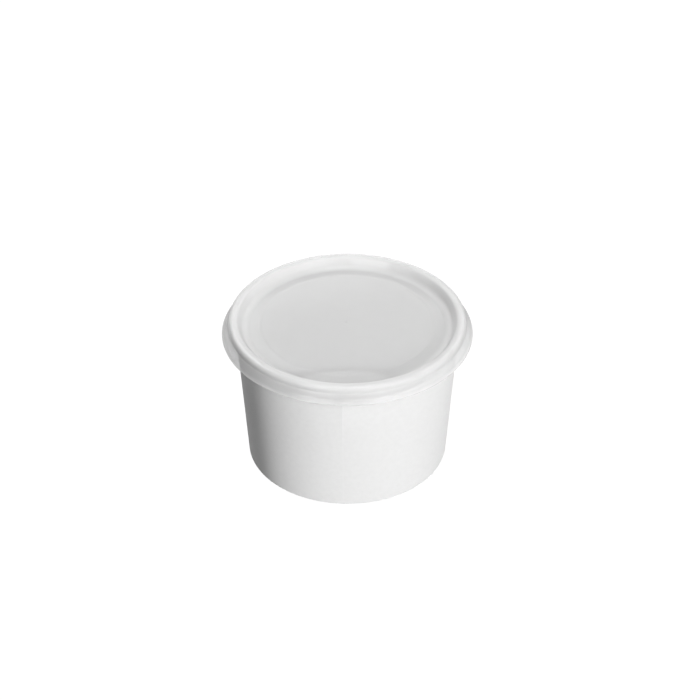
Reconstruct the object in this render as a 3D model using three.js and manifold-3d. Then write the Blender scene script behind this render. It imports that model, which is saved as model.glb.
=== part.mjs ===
// A round paper salad bowl with its translucent lid pressed on.
// Millimetres, +Z up. The origin is the middle of the base ring, on the surface that the bowl stands on.
import * as THREE from 'three';
import { mergeVertices } from 'three/addons/utils/BufferGeometryUtils.js';
import Module from 'manifold-3d';

// Sides of every round piece, and the clearance between nested pieces.
const facets = 72;
const fitGap = 0.3;

// Bowl: a cone of paper, folded in at the base and rolled outwards at the rim.
const paper = 0.5;
const baseRadius = 49.3;
const wallFlare = 0.0723; // radius gained for each millimetre of height
const bowlHeight = 75.6;
const rimRadius = 57.3;
const rimDepth = 5.1;
const rollEnd = THREE.MathUtils.degToRad(-112); // where the roll's edge stops, short of the wall
const foldHeight = 8.5;
const foldCorner = 0.35;

// Side seam: the outer layer of the overlap stands proud and ends just left of the front.
const seamStep = 0.35;
const seamEdge = THREE.MathUtils.degToRad(-2.3); // from the front, to the left
const seamWidth = 8;

// Floor: a disc of paper with its rim turned down into the fold.
const floorPaper = 0.45;
const floorHeight = 10.5;
const flangeCorner = 1.2;
const flangeFoot = 1.1;

// Lid: one thin moulding, described by its upper face from the middle outwards.
const lidWall = 0.55;
const panelCrown = 74.0;
const panelEdge = { radius: 43.9, height: 72.7 };
const gateNub = { radius: 1.1, height: 0.3 };
const channel = { inner: 49.3, outer: 52.3, height: 71.0 };
const crest = { inner: 53.0, outer: 57.95, height: 76.5 };
const beadLine = { radius: 58.2, height: 73.6 };
const skirtEdge = { radius: 61.2, height: 68.7 };

const wallRadius = (height) => baseRadius + wallFlare * height;

// A line through corners. Each corner is rounded by a curve that starts and ends at its own reach from it.
function roundedLine(corners) {
  const points = [];
  corners.forEach((corner, i) => {
    const middle = new THREE.Vector2(corner.x, corner.y);
    if (corner.reach === undefined) {
      points.push(middle);
      return;
    }
    const towards = (other) => new THREE.Vector2(other.x, other.y).sub(middle).setLength(corner.reach);
    const start = middle.clone().add(towards(corners[i - 1]));
    const end = middle.clone().add(towards(corners[i + 1]));
    points.push(...new THREE.QuadraticBezierCurve(start, middle, end).getPoints(corner.steps));
  });
  return points;
}

// The same corners moved sideways by a distance, to the left of the line's direction. Curves keep their
// centres, mitred corners stay sharp, and an end on the axis stays on it.
function offsetCorners(corners, distance) {
  const last = corners.length - 1;
  const side = (i) => new THREE.Vector2(corners[i + 1].x - corners[i].x, corners[i + 1].y - corners[i].y);
  return corners.map((corner, i) => {
    const coming = side(Math.max(i - 1, 0));
    const going = side(Math.min(i, last - 1));
    const turn = Math.atan2(coming.cross(going), coming.dot(going));
    const along = coming.normalize().add(going.normalize()).normalize();
    const slide = distance / Math.cos(turn / 2);
    return {
      x: corner.x === 0 ? 0 : corner.x - along.y * slide,
      y: corner.y + along.x * slide,
      reach: corner.reach && corner.reach - distance * Math.tan(turn / 2),
      steps: corner.steps,
    };
  });
}

// A solid of revolution about Z. The outline runs upwards on its outer side.
function revolve(outline) {
  return new THREE.LatheGeometry(outline, facets).rotateX(Math.PI / 2);
}

const wasm = await Module();
wasm.setup();

function toSolid(geometry) {
  const bare = geometry.clone();
  bare.deleteAttribute('normal');
  bare.deleteAttribute('uv');
  const merged = mergeVertices(bare);
  return new wasm.Manifold(
    new wasm.Mesh({
      numProp: 3,
      vertProperties: new Float32Array(merged.attributes.position.array),
      triVerts: new Uint32Array(merged.index.array),
    }),
  );
}

function toGeometry(solid) {
  const mesh = solid.getMesh();
  const geometry = new THREE.BufferGeometry();
  geometry.setAttribute('position', new THREE.BufferAttribute(mesh.vertProperties, 3));
  geometry.setIndex(new THREE.BufferAttribute(mesh.triVerts, 1));
  return geometry;
}

// One face of the paper, at a distance to the left of its middle. The middle runs from the folded-in edge,
// under the base ring, up the wall and round the roll.
function wallFace(distance) {
  const half = paper / 2;
  const slot = floorPaper + 2 * fitGap + paper;
  const middle = (height) => wallRadius(height) - half;
  const rollRadius = (rimRadius - half - middle(bowlHeight - half)) / (2 - wallFlare);
  const rollTop = bowlHeight - half - rollRadius;
  const rollMiddle = middle(rollTop) + rollRadius;
  const rollFoot = bowlHeight - rimDepth + half + rollRadius;
  const faceRadius = rollRadius + distance;
  const arc = (height, start, end) =>
    new THREE.EllipseCurve(rollMiddle, height, faceRadius, faceRadius, start, end, true);
  const sheet = offsetCorners([
    { x: middle(foldHeight) - slot, y: foldHeight },
    { x: middle(half) - slot, y: half, reach: foldCorner, steps: 2 },
    { x: middle(half), y: half, reach: foldCorner, steps: 2 },
    { x: middle(rollTop), y: rollTop },
  ], distance);
  return [
    ...roundedLine(sheet).slice(0, -1),
    ...arc(rollTop, Math.PI, 0).getPoints(6),
    ...arc(rollFoot, 0, rollEnd).getPoints(4),
  ];
}

// The strip where the outer layer overlaps: a shallow sleeve round the wall, kept only inside one wedge.
function seamStrip() {
  const bottom = paper;
  const top = bowlHeight - rimDepth - paper;
  const sleeve = revolve([
    new THREE.Vector2(wallRadius(bottom) - paper / 2, bottom),
    new THREE.Vector2(wallRadius(bottom) + seamStep, bottom),
    new THREE.Vector2(wallRadius(top) + seamStep, top),
    new THREE.Vector2(wallRadius(top) - paper / 2, top),
    new THREE.Vector2(wallRadius(bottom) - paper / 2, bottom),
  ]);
  const seamEnd = seamEdge - seamWidth / wallRadius(top);
  const reach = 2 * rimRadius;
  const wedge = new THREE.Shape();
  wedge.moveTo(0, 0);
  wedge.lineTo(reach * Math.sin(seamEnd), -reach * Math.cos(seamEnd));
  wedge.lineTo(reach * Math.sin(seamEdge), -reach * Math.cos(seamEdge));
  wedge.closePath();
  const prism = new THREE.ExtrudeGeometry(wedge, { depth: bowlHeight, bevelEnabled: false });
  return toSolid(sleeve).intersect(toSolid(prism));
}

function bowlWall() {
  const outer = wallFace(-paper / 2);
  const inner = wallFace(paper / 2).reverse();
  const sheet = revolve([...outer, ...inner, outer[0].clone()]);
  return toGeometry(toSolid(sheet).add(seamStrip()));
}

function bowlFloor() {
  const half = floorPaper / 2;
  const flange = (height) => wallRadius(height) - paper - fitGap - half;
  const top = floorHeight - half;
  const middle = [
    { x: flange(flangeFoot), y: flangeFoot },
    { x: flange(top), y: top, reach: flangeCorner, steps: 2 },
    { x: 0, y: top },
  ];
  const lower = roundedLine(offsetCorners(middle, half)).reverse();
  return revolve([...lower, ...roundedLine(offsetCorners(middle, -half))]);
}

// The corners of the lid's upper face: a low dome, a slope down to the channel, the crest, the skirt.
function lidCorners() {
  const domeSteps = 3;
  const dome = Array.from({ length: domeSteps }, (unused, i) => {
    const share = i / domeSteps;
    const height = THREE.MathUtils.lerp(panelCrown, panelEdge.height, share ** 2);
    return { x: panelEdge.radius * share, y: height };
  });
  return [
    ...dome,
    { x: panelEdge.radius, y: panelEdge.height, reach: 0.6, steps: 1 },
    { x: channel.inner, y: channel.height, reach: 0.6, steps: 1 },
    { x: channel.outer, y: channel.height, reach: 2.3, steps: 3 },
    { x: crest.inner, y: crest.height, reach: 0.8, steps: 3 },
    { x: crest.outer, y: crest.height, reach: 2.4, steps: 4 },
    { x: beadLine.radius, y: beadLine.height, reach: 0.5, steps: 1 },
    { x: skirtEdge.radius, y: skirtEdge.height },
  ];
}

function lid() {
  const corners = lidCorners();
  const lower = roundedLine(offsetCorners(corners, -lidWall));
  const flare = Math.atan2(skirtEdge.radius - beadLine.radius, beadLine.height - skirtEdge.height);
  lower.at(-1).set(skirtEdge.radius - lidWall / Math.cos(flare), skirtEdge.height);
  const upper = roundedLine(corners).reverse().slice(0, -1);
  const nubTop = panelCrown + gateNub.height;
  const nub = [
    new THREE.Vector2(gateNub.radius, panelCrown),
    new THREE.Vector2(gateNub.radius / 2, nubTop),
    new THREE.Vector2(0, nubTop),
  ];
  return revolve([...lower, ...upper, ...nub]);
}

function piece(name, geometry, look) {
  const mesh = new THREE.Mesh(geometry, new THREE.MeshStandardMaterial(look));
  mesh.name = name;
  return mesh;
}

const paperWhite = { color: 0xf1f1f0, roughness: 0.75, metalness: 0 };
const milkyPlastic = { color: 0xe4e6e7, roughness: 0.35, metalness: 0, transparent: true, opacity: 0.62 };

const group = new THREE.Group();
group.add(piece('bowl_wall', bowlWall(), paperWhite));
group.add(piece('bowl_floor', bowlFloor(), paperWhite));
group.add(piece('lid', lid(), milkyPlastic));

export default group;
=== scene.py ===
# A white paper salad bowl closed by a translucent lid, on a pale floor in a soft studio.
import math

import bpy
import numpy as np
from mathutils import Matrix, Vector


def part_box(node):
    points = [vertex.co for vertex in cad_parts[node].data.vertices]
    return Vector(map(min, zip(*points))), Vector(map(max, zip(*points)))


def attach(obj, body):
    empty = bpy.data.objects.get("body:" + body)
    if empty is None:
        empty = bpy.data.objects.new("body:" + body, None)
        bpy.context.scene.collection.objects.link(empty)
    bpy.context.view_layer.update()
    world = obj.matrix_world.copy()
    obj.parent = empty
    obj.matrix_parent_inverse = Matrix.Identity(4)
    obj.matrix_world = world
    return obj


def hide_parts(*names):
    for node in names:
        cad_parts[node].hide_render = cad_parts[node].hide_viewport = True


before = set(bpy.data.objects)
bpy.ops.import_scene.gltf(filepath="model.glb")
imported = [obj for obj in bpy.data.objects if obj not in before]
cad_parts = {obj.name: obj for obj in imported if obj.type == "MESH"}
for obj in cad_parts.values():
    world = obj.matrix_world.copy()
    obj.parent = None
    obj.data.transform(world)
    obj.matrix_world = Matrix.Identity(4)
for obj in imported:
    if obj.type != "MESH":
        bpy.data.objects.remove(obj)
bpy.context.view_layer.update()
print("frame loaded:", ", ".join(sorted(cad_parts)))

mm = 0.001  # outlines are worked out in millimetres, meshes are in metres
wallBox = [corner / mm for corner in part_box("bowl_wall")]
lidBox = [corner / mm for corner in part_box("lid")]


# Outlines: rows of (radius, height), turned about the bowl's axis.

def unit(vector):
    return vector / np.linalg.norm(vector)


def roundedLine(corners, steps=8):
    # each corner is (radius, height, reach), and a reach above zero rounds it with a curve
    points = []
    for i, (radius, height, reach) in enumerate(corners):
        corner = np.array((radius, height))
        if reach <= 0:
            points.append(corner)
            continue
        start = corner + reach * unit(np.array(corners[i - 1][:2]) - corner)
        end = corner + reach * unit(np.array(corners[i + 1][:2]) - corner)
        for t in np.linspace(0, 1, steps + 1):
            points.append((1 - t) ** 2 * start + 2 * t * (1 - t) * corner + t ** 2 * end)
    return np.array(points)


def leftOf(points):
    # the direction to the left of the line at each of its points
    sides = np.diff(points, axis=0)
    sides /= np.linalg.norm(sides, axis=1)[:, None]
    along = np.vstack((sides[:1], sides[:-1] + sides[1:], sides[-1:]))
    along /= np.linalg.norm(along, axis=1)[:, None]
    return np.stack((-along[:, 1], along[:, 0]), axis=1)


def offsetCorners(corners, distance):
    # the same corners moved to the left of the line, with curves about the same centres
    moved = []
    for i, (radius, height, reach) in enumerate(corners):
        here = np.array((radius, height))
        before = np.array(corners[max(i - 1, 0)][:2])
        after = np.array(corners[min(i + 1, len(corners) - 1)][:2])
        coming = unit(here - before) if i > 0 else unit(after - here)
        going = unit(after - here) if i < len(corners) - 1 else coming
        turn = math.atan2(coming[0] * going[1] - coming[1] * going[0], coming @ going)
        along = unit(coming + going)
        slide = distance / math.cos(turn / 2)
        newRadius = 0.0 if radius == 0 else radius - along[1] * slide
        newReach = max(reach - distance * math.tan(turn / 2), 0.0) if reach > 0 else 0.0
        moved.append((newRadius, height + along[0] * slide, newReach))
    return moved


def morePoints(points, longest):
    # points are added where two lie further apart than the longest step
    rows = [points[:1]]
    for start, end in zip(points[:-1], points[1:]):
        count = max(1, math.ceil(np.linalg.norm(end - start) / longest))
        rows.append(start + (end - start) * np.linspace(0, 1, count + 1)[1:, None])
    return np.concatenate(rows)


def withRadii(points, radii):
    # points are added where the line passes each of the radii
    nearest = 0.01  # a new point stays this far from the line's own
    rows = [points[:1]]
    for start, end in zip(points[:-1], points[1:]):
        low, high = sorted((start[0], end[0]))
        crossed = np.sort([radius for radius in radii if low + nearest < radius < high - nearest])
        if end[0] < start[0]:
            crossed = crossed[::-1]
        for radius in crossed:
            rows.append([start + (end - start) * (radius - start[0]) / (end[0] - start[0])])
        rows.append([end])
    return np.concatenate(rows)


def smoothRamp(low, high, value):
    share = np.clip((value - low) / (high - low), 0, 1)
    return share * share * (3 - 2 * share)


def columnAngles(count, edges=()):
    # angles from the front, rising towards +X, with a close pair of columns at each sharp edge
    closest = 0.03  # degrees from an edge to each column of its pair
    clearance = 4 * closest  # the other columns stay this far from the edge
    regular = np.arange(count) * 360.0 / count - 180.0
    for edge in edges:
        regular = regular[np.abs(regular - edge) > clearance]
    pairs = [edge + side * closest for edge in edges for side in (-1, 1)]
    return np.radians(np.sort(np.concatenate((regular, pairs))))


sharpEdge = 38  # degrees between two faces above which their edge isn't smoothed


def turnedMesh(name, radius, height, angles, slots, materials, closed, tone):
    # radius, height and tone hold a row for each point of the outline and a column for each angle,
    # and the materials read the tone from the mesh's attribute
    rows, columns = radius.shape
    grid = np.stack((radius * np.sin(angles), -radius * np.cos(angles), height), axis=2) * mm
    ids = np.arange(rows * columns).reshape(rows, columns)
    points = grid.reshape(-1, 3)
    tones = tone.ravel()
    if not closed:
        # both ends of the outline lie on the axis, where one point stands for the whole row
        ids[0] = columns - 1
        ids[-1] = (rows - 1) * columns
    faces = []
    faceSlots = []
    last = rows if closed else rows - 1
    for row in range(last):
        lower = ids[row]
        upper = ids[(row + 1) % rows]
        for column in range(columns):
            nextColumn = (column + 1) % columns
            ring = (lower[column], lower[nextColumn], upper[nextColumn], upper[column])
            faces.append(tuple(dict.fromkeys(int(i) for i in ring)))
        faceSlots += [slots[row]] * columns
    if not closed:
        # the first and last rows shrink to their one point each
        kept = slice(columns - 1, (rows - 1) * columns + 1)
        points = points[kept]
        tones = tones[kept]
        faces = [tuple(i - kept.start for i in face) for face in faces]
    mesh = bpy.data.meshes.new(name)
    mesh.from_pydata(points.tolist(), [], faces)
    for material in materials:
        mesh.materials.append(material)
    mesh.polygons.foreach_set("material_index", faceSlots)
    mesh.attributes.new("tone", "FLOAT", "POINT").data.foreach_set("value", tones)
    mesh.shade_smooth()
    mesh.set_sharp_from_angle(angle=math.radians(sharpEdge))
    mesh.update()
    piece = bpy.data.objects.new(name, mesh)
    bpy.context.scene.collection.objects.link(piece)
    print(name, "built:", len(mesh.vertices), "points")
    return piece


# Shader helpers.

def newMaterial(name):
    material = bpy.data.materials.new(name)
    material.use_nodes = True
    return material, material.node_tree, material.node_tree.nodes["Principled BSDF"]


def fineReliefGroup():
    # uneven grain at two sizes, as a height and as a mask, for paper and for moulded plastic
    group = bpy.data.node_groups.new("fineRelief", "ShaderNodeTree")
    sockets = group.interface
    sockets.new_socket("Grain Scale", in_out="INPUT", socket_type="NodeSocketFloat")
    sockets.new_socket("Patch Scale", in_out="INPUT", socket_type="NodeSocketFloat")
    sockets.new_socket("Patch Share", in_out="INPUT", socket_type="NodeSocketFloat")
    sockets.new_socket("Height", in_out="OUTPUT", socket_type="NodeSocketFloat")
    sockets.new_socket("Patches", in_out="OUTPUT", socket_type="NodeSocketFloat")
    nodes = group.nodes
    link = group.links.new
    given = nodes.new("NodeGroupInput")
    place = nodes.new("ShaderNodeTexCoord")
    grain = nodes.new("ShaderNodeTexNoise")
    grain.inputs["Detail"].default_value = 3.0
    grain.inputs["Roughness"].default_value = 0.6
    patches = nodes.new("ShaderNodeTexNoise")
    patches.inputs["Detail"].default_value = 2.0
    mixed = nodes.new("ShaderNodeMix")
    result = nodes.new("NodeGroupOutput")
    link(place.outputs["Object"], grain.inputs["Vector"])
    link(place.outputs["Object"], patches.inputs["Vector"])
    link(given.outputs["Grain Scale"], grain.inputs["Scale"])
    link(given.outputs["Patch Scale"], patches.inputs["Scale"])
    link(given.outputs["Patch Share"], mixed.inputs["Factor"])
    link(grain.outputs["Fac"], mixed.inputs["A"])
    link(patches.outputs["Fac"], mixed.inputs["B"])
    link(mixed.outputs["Result"], result.inputs["Height"])
    link(patches.outputs["Fac"], result.inputs["Patches"])
    return group


fineRelief = fineReliefGroup()


def addRelief(tree, shader, look):
    # grain in the normal, and patches in the colour and the roughness
    nodes = tree.nodes
    relief = nodes.new("ShaderNodeGroup")
    relief.node_tree = fineRelief
    relief.inputs["Grain Scale"].default_value = look["grainScale"]
    relief.inputs["Patch Scale"].default_value = look["patchScale"]
    relief.inputs["Patch Share"].default_value = look["patchShare"]
    bump = nodes.new("ShaderNodeBump")
    bump.inputs["Strength"].default_value = look["bumpStrength"]
    bump.inputs["Distance"].default_value = look["bumpDepth"] * mm
    colour = nodes.new("ShaderNodeMix")
    colour.data_type = "RGBA"
    colour.inputs["A"].default_value = (*look["darker"], 1)
    colour.inputs["B"].default_value = (*look["lighter"], 1)
    rough = nodes.new("ShaderNodeMapRange")
    rough.inputs["To Min"].default_value = look["smoothest"]
    rough.inputs["To Max"].default_value = look["roughest"]
    tree.links.new(relief.outputs["Height"], bump.inputs["Height"])
    tree.links.new(bump.outputs["Normal"], shader.inputs["Normal"])
    tree.links.new(relief.outputs["Patches"], colour.inputs["Factor"])
    if look["paintedShading"]:
        # the mesh's own tone, painted light and shade above or below the paper's usual brightness of one
        tone = nodes.new("ShaderNodeAttribute")
        tone.attribute_name = "tone"
        brightness = nodes.new("ShaderNodeMath")
        brightness.operation = "ADD"
        brightness.inputs[1].default_value = 1
        paintedShading = nodes.new("ShaderNodeMix")
        paintedShading.data_type = "RGBA"
        paintedShading.blend_type = "MULTIPLY"
        paintedShading.inputs["Factor"].default_value = 1
        tree.links.new(colour.outputs["Result"], paintedShading.inputs["A"])
        tree.links.new(tone.outputs["Fac"], brightness.inputs[0])
        tree.links.new(brightness.outputs[0], paintedShading.inputs["B"])
        colour = paintedShading
    tree.links.new(colour.outputs["Result"], shader.inputs["Base Color"])
    tree.links.new(relief.outputs["Patches"], rough.inputs["Value"])
    tree.links.new(rough.outputs["Result"], shader.inputs["Roughness"])


# Paper: matt outside, lightly coated inside, bare fibre where it is cut.

paperOutside = {
    "grainScale": 2600.0,
    "patchScale": 420.0,
    "patchShare": 0.35,
    "bumpStrength": 0.35,
    "bumpDepth": 0.02,
    "darker": (0.84, 0.84, 0.838),
    "lighter": (0.90, 0.90, 0.898),
    "smoothest": 0.52,
    "roughest": 0.66,
    "shine": 0.4,
    "softness": 0.7,  # evens the light out, as fibres do
    "paintedShading": True,  # the mesh's tone makes it paler or darker, as painted light and shade
}
paperInside = {**paperOutside, "bumpStrength": 0.25, "smoothest": 0.36, "roughest": 0.5, "shine": 0.5}
paperCut = {
    **paperOutside,
    "grainScale": 4200.0,
    "bumpStrength": 0.7,
    "bumpDepth": 0.04,
    "darker": (0.74, 0.73, 0.71),
    "lighter": (0.86, 0.855, 0.84),
    "smoothest": 0.8,
    "roughest": 0.95,
    "shine": 0.25,
    "paintedShading": False,
}


def paperMaterial(name, look):
    material, tree, shader = newMaterial(name)
    shader.inputs["Specular IOR Level"].default_value = look["shine"]
    shader.inputs["Diffuse Roughness"].default_value = look["softness"]
    addRelief(tree, shader, look)
    return material


paperMaterials = [
    paperMaterial("paperOutside", paperOutside),
    paperMaterial("paperInside", paperInside),
    paperMaterial("paperCutEdge", paperCut),
]
outside, inside, cutEdge = range(3)  # places of the paper materials in a piece's slots


# Wall of the bowl: one sheet from the folded-in edge, under the base, up the cone and round the roll.

bowlWall = {
    "columns": 720,  # four for each fine ridge of the fold
    "paper": 0.5,
    "baseRadius": 49.3,
    "flare": 0.0723,  # radius gained for each millimetre of height
    "rimDepth": 5.1,
    "rollEnd": -112.0,  # degrees, where the roll's edge stops short of the wall
    "rollSteps": (16, 7),  # over the top, and from there to the edge
    "foldHeight": 8.5,
    "foldCorner": 0.5,
    "foldSlot": 1.55,  # from the wall's middle to the folded layer's middle
    "longestStep": 3.4,
    "seamAngle": -2.3,  # degrees from the front
    "seamStart": (0.6, 4.0),  # heights between which the seam rises out of the base
    "seamOverlap": 8.0,
    "overlapRadius": 53.3,  # the wall's radius where the overlap is measured
    "innerEdgeLift": 0.25,  # the step inside the bowl, at the inner layer's edge
    "seamLift": (0.02, 0.5),  # the outer layer's edge over the wall, low down and under the rim
    "seamTail": (5.0, 7.6),  # how far behind the edge the lift fades out, at the same two heights
    "ridgeLift": 0.25,  # how far the layer under the edge bends out, to the right of it
    "ridgeWidth": 10.0,
    "seamFade": (40.0, 70.0),  # heights between which the seam grows stronger
    # painted light right of the edge, and painted shade left of it under the rim:
    # share, width, and the heights between which it sets in
    "seamPale": (0.015, 15.0, 40.0, 64.0),
    "seamPaintedShade": (0.25, 9.0, 63.5, 65.5),
    "rollLift": 0.18,  # the outer layer's edge on the roll
    "rollRidge": 0.4,  # share of the bend that is left on the roll
    "rollInner": 0.5,  # and of the step inside
    "crimpCount": 180,
    "crimpDepth": 0.13,
    "crimpStart": (0.4, 1.4),  # heights between which the ridges set in
    "crimpEnd": (8.2, 7.6),  # and end, from the top down
}


def wallMiddle(look):
    # the middle line of the sheet, and the height above which it belongs to the roll
    half = look["paper"] / 2
    top = wallBox[1][2] - half

    def middle(height):
        return look["baseRadius"] + look["flare"] * height - half

    rollRadius = (wallBox[1][0] - half - middle(top)) / (2 - look["flare"])
    rollTop = top - rollRadius
    rollMiddle = middle(rollTop) + rollRadius
    rollFoot = wallBox[1][2] - look["rimDepth"] + half + rollRadius
    sheet = roundedLine([
        (middle(look["foldHeight"]) - look["foldSlot"], look["foldHeight"], 0),
        (middle(half) - look["foldSlot"], half, look["foldCorner"]),
        (middle(half), half, look["foldCorner"]),
        (middle(rollTop), rollTop, 0),
    ])

    def arc(height, start, end, steps):
        angles = np.radians(np.linspace(start, end, steps + 1))
        directions = np.stack((np.cos(angles), np.sin(angles)), axis=1)
        return np.array((rollMiddle, height)) + rollRadius * directions

    overSteps, downSteps = look["rollSteps"]
    line = np.concatenate((
        morePoints(sheet, look["longestStep"])[:-1],
        arc(rollTop, 180, 0, overSteps),
        arc(rollFoot, 0, look["rollEnd"], downSteps),
    ))
    return line, rollTop


def leftOfSeam(look, angles, heights):
    # millimetres along the wall, to the left of the seam's edge
    radius = (look["baseRadius"] + look["flare"] * heights)[:, None]
    return np.radians(look["seamAngle"] - np.degrees(angles)[None, :]) * radius


def seamShift(look, angles, heights, rolled):
    # how far the outer and the inner face move out at each point, next to the overlap
    left = leftOfSeam(look, angles, heights)
    onRoll = rolled[:, None]
    strength = smoothRamp(*look["seamFade"], heights)[:, None]
    lowLift, highLift = look["seamLift"]
    lowTail, highTail = look["seamTail"]
    lift = np.where(onRoll, look["rollLift"], lowLift + (highLift - lowLift) * strength)
    tail = lowTail + (highTail - lowTail) * strength
    behind = np.where(left >= 0, np.clip(1 - left / tail, 0, 1) ** 2, 0)
    beyond = np.where(left < 0, np.clip(1 + left / look["ridgeWidth"], 0, 1) ** 2, 0)
    ridge = look["ridgeLift"] * strength * beyond * np.where(onRoll, look["rollRidge"], 1)
    past = left - look["seamOverlap"]
    fading = np.where(past >= 0, np.clip(1 - past / look["ridgeWidth"], 0, 1) ** 2, 0)
    inner = look["innerEdgeLift"] * fading * np.where(onRoll, look["rollInner"], 1)
    standing = smoothRamp(*look["seamStart"], heights)[:, None]
    return (lift * behind + ridge) * standing, inner * standing


def seamPaintedShading(look, angles, heights, rolled):
    # painted light makes the outer face a little paler right of the seam's edge, and painted shade makes it
    # greyer left of it under the rim
    left = leftOfSeam(look, angles, heights)
    pale, paleWidth, paleStart, paleEnd = look["seamPale"]
    grey, greyWidth, greyStart, greyEnd = look["seamPaintedShade"]
    right = np.where(left < 0, np.clip(1 + left / paleWidth, 0, 1), 0)
    beside = np.where(left >= 0, smoothRamp(2 * greyWidth, greyWidth, left), 0)
    tone = pale * right * smoothRamp(paleStart, paleEnd, heights)[:, None]
    tone -= grey * beside * smoothRamp(greyStart, greyEnd, heights)[:, None]
    return np.where(rolled[:, None], 0.0, tone)


def buildWall(look):
    line, rollTop = wallMiddle(look)
    normal = -leftOf(line)  # the sheet's outer side, to the right of the line
    half = look["paper"] / 2
    innerEdge = look["seamAngle"] - math.degrees(look["seamOverlap"] / look["overlapRadius"])
    angles = columnAngles(look["columns"], (look["seamAngle"], innerEdge))
    foldTurn = int(np.argmin(line[:, 1]))
    folded = np.arange(len(line)) < foldTurn
    seamHeights = np.where(folded, 0.0, line[:, 1])
    rolled = (line[:, 1] > rollTop) | (np.arange(len(line)) > np.argmax(line[:, 1]))
    outer, inner = seamShift(look, angles, seamHeights, rolled)
    # fine upright ridges pressed into the folded layer, on the side towards the axis
    pressed = smoothRamp(*look["crimpStart"], line[:, 1]) * smoothRamp(*look["crimpEnd"], line[:, 1]) * folded
    wave = (1 + np.cos(look["crimpCount"] * angles)) / 2
    crimp = look["crimpDepth"] * pressed[:, None] * wave[None, :]
    outwards = half + outer + crimp
    inwards = half - inner
    radius = np.concatenate((
        line[:, :1] + normal[:, :1] * outwards,
        (line[:, :1] - normal[:, :1] * inwards)[::-1],
    ))
    height = np.concatenate((
        line[:, 1:] + normal[:, 1:] * outwards,
        (line[:, 1:] - normal[:, 1:] * inwards)[::-1],
    ))
    height = np.maximum(height, 0)
    # painted light and shade beside the seam, on the outer face only
    tone = seamPaintedShading(look, angles, seamHeights, rolled)
    tone = np.concatenate((tone, np.zeros_like(tone)))
    count = len(line) - 1
    slots = [outside] * count + [cutEdge] + [inside] * count + [cutEdge]
    return turnedMesh("paperWall", radius, height, angles, slots, paperMaterials, True, tone)


wall = buildWall(bowlWall)
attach(wall, "root")
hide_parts("bowl_wall")


# Floor of the bowl: a disc with its rim turned down into the folded base.

bowlFloor = {
    "columns": 360,
    "paper": 0.45,
    "height": 10.5,
    "gap": 0.3,  # to the wall
    "corner": 0.7,
    "foot": 1.1,  # height at which the turned-down rim ends
    "longestStep": 2.5,
    "dish": 0.35,  # how far the middle sags
    "ringRadius": 42.5,  # faint pressed ring inside the rim
    "ringWidth": 1.4,
    "ringDepth": 0.12,
    "paintedCreaseShade": -0.65,  # painted shade: darker at the disc's rim, in the crease where it meets the wall
    "paintedShadeWidth": 1.1,
    "paintedDiscLight": 0.1,  # painted light: a little brighter elsewhere
}


def buildFloor(look):
    half = look["paper"] / 2
    top = look["height"] - half

    def wallInside(height):
        return bowlWall["baseRadius"] + bowlWall["flare"] * height - bowlWall["paper"] - look["gap"] - half

    corners = [
        (wallInside(look["foot"]), look["foot"], 0),
        (wallInside(top), top, look["corner"]),
        (0.0, top, 0),
    ]
    lower = morePoints(roundedLine(offsetCorners(corners, half)), look["longestStep"])[::-1]
    upper = morePoints(roundedLine(offsetCorners(corners, -half)), look["longestStep"])
    outline = np.concatenate((lower, upper))
    radii = outline[:, 0]
    isDisc = (outline[:, 1] > look["height"] - 2 * look["paper"]) & (radii < wallInside(top) - look["corner"])
    sag = look["dish"] * (1 - (radii / wallInside(top)) ** 2)
    ring = look["ringDepth"] * np.exp(-((radii - look["ringRadius"]) / look["ringWidth"]) ** 2)
    outline[:, 1] -= np.where(isDisc, sag + ring, 0)
    angles = columnAngles(look["columns"])
    radius = np.repeat(outline[:, :1], len(angles), axis=1)
    height = np.repeat(outline[:, 1:], len(angles), axis=1)
    slots = [outside] * (len(lower) - 1) + [cutEdge] + [inside] * (len(upper) - 1)
    # painted shade in the crease at the disc's rim, and painted light over the rest of the floor
    inPaintedShade = wallInside(top) + half - radius < look["paintedShadeWidth"]
    tone = np.where(inPaintedShade & (height > look["foot"] + look["corner"]), look["paintedCreaseShade"], look["paintedDiscLight"])
    return turnedMesh("paperFloor", radius, height, angles, slots, paperMaterials, False, tone)


paperFloor = buildFloor(bowlFloor)
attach(paperFloor, "root")
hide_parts("bowl_floor")


# Lid: thin milky plastic, see-through enough to show the floor's far edge.

milkyPlastic = {
    "grainScale": 1500.0,
    "patchScale": 160.0,
    "patchShare": 0.5,
    "bumpStrength": 0.12,
    "bumpDepth": 0.02,
    "darker": (0.96, 0.96, 0.96),
    "lighter": (0.99, 0.99, 0.99),
    "smoothest": 0.4,
    "roughest": 0.5,
    "paintedShading": False,
    "passing": (0.63, 0.42),  # share of light that crosses one face straight on, where thin and where thick
    "scattering": (0.3, 0.4),  # share of the scattered light that goes on through the face
    "glossRoughness": 0.14,
    "glossAhead": 0.04,  # mirrored share seen straight on
    "glossAside": 0.5,  # mirrored share at a grazing view
    "glossFalloff": 5,  # a higher power keeps the strong share closer to the grazing view
}


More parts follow.
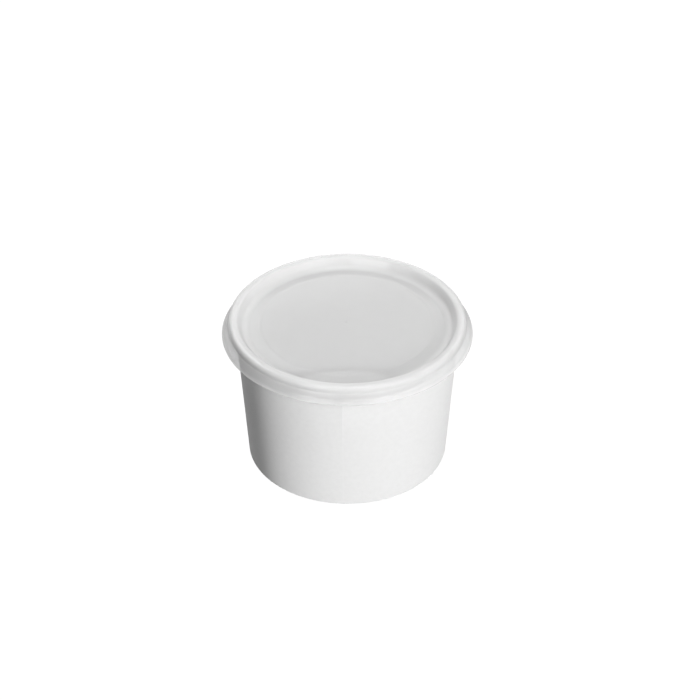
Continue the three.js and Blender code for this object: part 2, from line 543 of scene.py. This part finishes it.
def lidMaterial(name, look):
    # light that crosses the film, light scattered forwards or back, and a gloss over both,
    # with the mesh's tone as the film's thickness
    material, tree, shader = newMaterial(name)
    nodes = tree.nodes
    shader.inputs["Specular IOR Level"].default_value = 0  # the gloss is a shader of its own
    addRelief(tree, shader, look)
    onwards = nodes.new("ShaderNodeBsdfTranslucent")
    onwards.inputs["Color"].default_value = (*look["lighter"], 1)
    clear = nodes.new("ShaderNodeBsdfTransparent")
    gloss = nodes.new("ShaderNodeBsdfGlossy")
    gloss.inputs["Roughness"].default_value = look["glossRoughness"]
    thickness = nodes.new("ShaderNodeAttribute")
    thickness.attribute_name = "tone"
    scattered = nodes.new("ShaderNodeMixShader")
    film = nodes.new("ShaderNodeMixShader")
    for key, mix in (("scattering", scattered), ("passing", film)):
        share = nodes.new("ShaderNodeMapRange")
        share.inputs["To Min"].default_value, share.inputs["To Max"].default_value = look[key]
        tree.links.new(thickness.outputs["Fac"], share.inputs["Value"])
        tree.links.new(share.outputs["Result"], mix.inputs["Fac"])
    glazed = nodes.new("ShaderNodeMixShader")
    slant = nodes.new("ShaderNodeLayerWeight")
    slant.inputs["Blend"].default_value = 0.5  # rises evenly with the slant
    steep = nodes.new("ShaderNodeMath")
    steep.operation = "POWER"
    steep.inputs[1].default_value = look["glossFalloff"]
    mirrored = nodes.new("ShaderNodeMapRange")
    mirrored.inputs["To Min"].default_value = look["glossAhead"]
    mirrored.inputs["To Max"].default_value = look["glossAside"]
    tree.links.new(shader.outputs[0], scattered.inputs[1])
    tree.links.new(onwards.outputs[0], scattered.inputs[2])
    tree.links.new(scattered.outputs[0], film.inputs[1])
    tree.links.new(clear.outputs[0], film.inputs[2])
    tree.links.new(slant.outputs["Facing"], steep.inputs[0])
    tree.links.new(steep.outputs[0], mirrored.inputs["Value"])
    tree.links.new(mirrored.outputs["Result"], glazed.inputs["Fac"])
    tree.links.new(film.outputs[0], glazed.inputs[1])
    tree.links.new(gloss.outputs[0], glazed.inputs[2])
    tree.links.new(glazed.outputs[0], nodes["Material Output"].inputs["Surface"])
    return material


lidMoulding = {
    "columns": 400,
    "thickness": 0.55,
    # corners of the upper face: radius, height, and the reach of the rounding from the corner
    "panelEdge": (43.9, 72.7, 0.6),
    "channelInner": (47.6, 71.9, 0.6),
    "channelOuter": (50.7, 71.9, 2.3),
    "crestInner": (53.5, 1.1),  # radius and reach, as the lid's top gives the height
    "crestOuter": (57.95, 2.6),
    "bead": (58.2, 73.6, 0.3),
    "panelCrown": 74.0,  # height of the panel's middle
    "ridge": (42.6, 0.9, 0.1),  # radius, width and height of the faint ridge inside the panel's edge
    "nubFoot": (1.1, 0.2),  # radius and reach of the small moulding mark
    "nubShoulder": (0.66, 0.3),
    "nubHeight": 0.15,
    # how milky the film is, from 0 to 1: on top by radius, on the skirt by height
    "topThickness": ((47.5, 51.0, 53.0, 55.0, 56.6, 57.6), (0, 0.7, 0.8, 0.1, 0.3, 1)),
    "skirtThickness": ((69.5, 73.0), (0, 1)),
    "lipWidth": 0.62,  # across the skirt's lower edge
    "lipReach": 0.2,
    "longestStep": 2.5,
    "domeSteps": 12,
}


def buildLid(look):
    crestHeight = lidBox[1][2]
    skirtRadius = lidBox[1][0]
    skirtHeight = lidBox[0][2]
    edgeRadius, edgeHeight = look["panelEdge"][:2]
    beadRadius = look["bead"][0]
    dome = []
    for share in np.linspace(0, 1, look["domeSteps"], endpoint=False):
        fall = (look["panelCrown"] - edgeHeight) * share ** 2
        dome.append((edgeRadius * share, look["panelCrown"] - fall, 0))
    innerRadius, innerReach = look["crestInner"]
    outerRadius, outerReach = look["crestOuter"]
    profile = [
        look["panelEdge"],
        look["channelInner"],
        look["channelOuter"],
        (innerRadius, crestHeight, innerReach),
        (outerRadius, crestHeight, outerReach),
        look["bead"],
        (skirtRadius, skirtHeight, 0),
    ]
    upperCorners = dome + profile
    lowerCorners = offsetCorners(upperCorners, -look["thickness"])[:-1]
    lip = [
        (skirtRadius - look["lipWidth"], skirtHeight, look["lipReach"]),
        (skirtRadius, skirtHeight, look["lipReach"]),
    ]
    nubTop = look["panelCrown"] + look["nubHeight"]
    footRadius, footReach = look["nubFoot"]
    shoulderRadius, shoulderReach = look["nubShoulder"]
    nub = [
        (footRadius, look["panelCrown"], footReach),
        (shoulderRadius, nubTop, shoulderReach),
        (0.0, nubTop, 0),
    ]
    # the lower face outwards, the skirt's lip, and the upper face back to the middle
    outline = roundedLine(lowerCorners + lip + upperCorners[-2:0:-1] + nub)
    outline = morePoints(outline, look["longestStep"])
    place, width, lift = look["ridge"]
    nearRidge = np.arange(place - 2 * width, place + 2 * width, width / 4)
    outline = withRadii(outline, nearRidge)
    outline[:, 1] += lift * np.exp(-((outline[:, 0] - place) / width) ** 2)
    angles = columnAngles(look["columns"])
    radius = np.repeat(outline[:, :1], len(angles), axis=1)
    height = np.repeat(outline[:, 1:], len(angles), axis=1)
    onTop = np.interp(outline[:, 0], *look["topThickness"])
    onSkirt = np.interp(outline[:, 1], *look["skirtThickness"])
    isLip = outline[:, 1] < skirtHeight + look["lipReach"]  # the skirt's edge is as milky as the bead
    isSkirt = outline[:, 0] > beadRadius - look["thickness"]
    thickness = np.where(isSkirt, np.maximum(onSkirt, isLip), onTop)
    tone = np.repeat(thickness[:, None], len(angles), axis=1)
    slots = [0] * (len(outline) - 1)
    materials = [lidMaterial("milkyPlastic", milkyPlastic)]
    return turnedMesh("lidMoulding", radius, height, angles, slots, materials, False, tone)


lid = buildLid(lidMoulding)
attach(lid, "root")
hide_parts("lid")


# Studio: pale floor, white surroundings for the camera, soft lights.

studio = {
    "floorSize": 8.0,
    "floorDrop": 0.05,  # millimetres below the bowl, so that no two faces share a place
    "floorGlow": 1.0,
    "floorColour": 0.02,
    "floorRoughness": 0.9,
    "seenDirectly": 1.1,  # how bright the surroundings are to the camera
    "mirrored": 0.45,  # and in the gloss
    "cameraLens": 128.37,
    "cameraSensor": 36.0,
    "cameraElevation": 35.581,  # degrees
    "cameraDistance": 1.224,  # metres, to the target
    "cameraTarget": (0.0013, 0.0, 0.0572),
}
lights = {
    # name: azimuth from the front towards +X and elevation in degrees, distance in metres,
    # width and height in metres, power, and whether it shows in the gloss
    "keyLow": (31, 12, 1.5, 0.35, 0.35, 17.3, False),
    "keyTall": (33, 36, 1.5, 0.7, 1.4, 2.0, True),
    "overhead": (0, 88, 1.5, 0.95, 0.95, 6.1, True),
    "frontLeft": (-27, 36, 1.5, 0.95, 0.95, 5.0, True),
    "backWide": (180, 40, 1.5, 2.4, 2.4, 22.5, True),
    "backLeft": (-148, 38, 1.5, 0.95, 0.95, 1.9, True),
}


def buildFloorPlane(look):
    half = look["floorSize"] / 2
    mesh = bpy.data.meshes.new("studioFloor")
    corners = [(-half, -half), (half, -half), (half, half), (-half, half)]
    mesh.from_pydata([(x, y, -look["floorDrop"] * mm) for x, y in corners], [], [(0, 1, 2, 3)])
    material, tree, shader = newMaterial("paleFloor")
    shader.inputs["Base Color"].default_value = (look["floorColour"],) * 3 + (1,)
    shader.inputs["Roughness"].default_value = look["floorRoughness"]
    shader.inputs["Emission Color"].default_value = (1, 1, 1, 1)
    shader.inputs["Emission Strength"].default_value = look["floorGlow"]
    mesh.materials.append(material)
    floor = bpy.data.objects.new("studioFloor", mesh)
    bpy.context.scene.collection.objects.link(floor)
    floor.visible_diffuse = False  # the camera sees the floor, and the bowl takes no light from it
    floor.visible_glossy = False


def buildSurroundings(look):
    # white where the camera looks past everything, dimmer in the gloss, and without light of their own
    world = bpy.data.worlds.new("studio")
    world.use_nodes = True
    tree = world.node_tree
    pale = tree.nodes["Background"]
    pale.inputs["Color"].default_value = (1, 1, 1, 1)
    path = tree.nodes.new("ShaderNodeLightPath")
    glossy = tree.nodes.new("ShaderNodeMath")
    glossy.operation = "MULTIPLY"
    glossy.inputs[1].default_value = look["mirrored"]
    strength = tree.nodes.new("ShaderNodeMath")
    strength.operation = "MULTIPLY_ADD"
    strength.inputs[1].default_value = look["seenDirectly"]
    tree.links.new(path.outputs["Is Glossy Ray"], glossy.inputs[0])
    tree.links.new(path.outputs["Is Camera Ray"], strength.inputs[0])
    tree.links.new(glossy.outputs[0], strength.inputs[2])
    tree.links.new(strength.outputs[0], pale.inputs["Strength"])
    bpy.context.scene.world = world


def aimed(thing, azimuth, elevation, distance, target):
    # places a camera or a light round the target and turns it to face it
    flat = math.cos(math.radians(elevation)) * distance
    thing.location = (
        target[0] + flat * math.sin(math.radians(azimuth)),
        target[1] - flat * math.cos(math.radians(azimuth)),
        target[2] + math.sin(math.radians(elevation)) * distance,
    )
    thing.rotation_euler = (math.radians(90 - elevation), 0, math.radians(azimuth))
    bpy.context.scene.collection.objects.link(thing)


def buildLights(rig, target):
    for name, (azimuth, elevation, distance, width, height, power, mirrored) in rig.items():
        data = bpy.data.lights.new(name, "AREA")
        data.shape = "ELLIPSE"
        data.size = width
        data.size_y = height
        data.energy = power
        light = bpy.data.objects.new(name, data)
        light.visible_glossy = mirrored
        aimed(light, azimuth, elevation, distance, target)


def buildCamera(look):
    data = bpy.data.cameras.new("camera")
    data.lens = look["cameraLens"]
    data.sensor_width = look["cameraSensor"]
    camera = bpy.data.objects.new("camera", data)
    aimed(camera, 0, look["cameraElevation"], look["cameraDistance"], look["cameraTarget"])
    bpy.context.scene.camera = camera


buildFloorPlane(studio)
buildSurroundings(studio)
buildLights(lights, studio["cameraTarget"])
buildCamera(studio)
bpy.context.scene.view_settings.view_transform = "Standard"
print("studio ready:", len(lights), "lights")
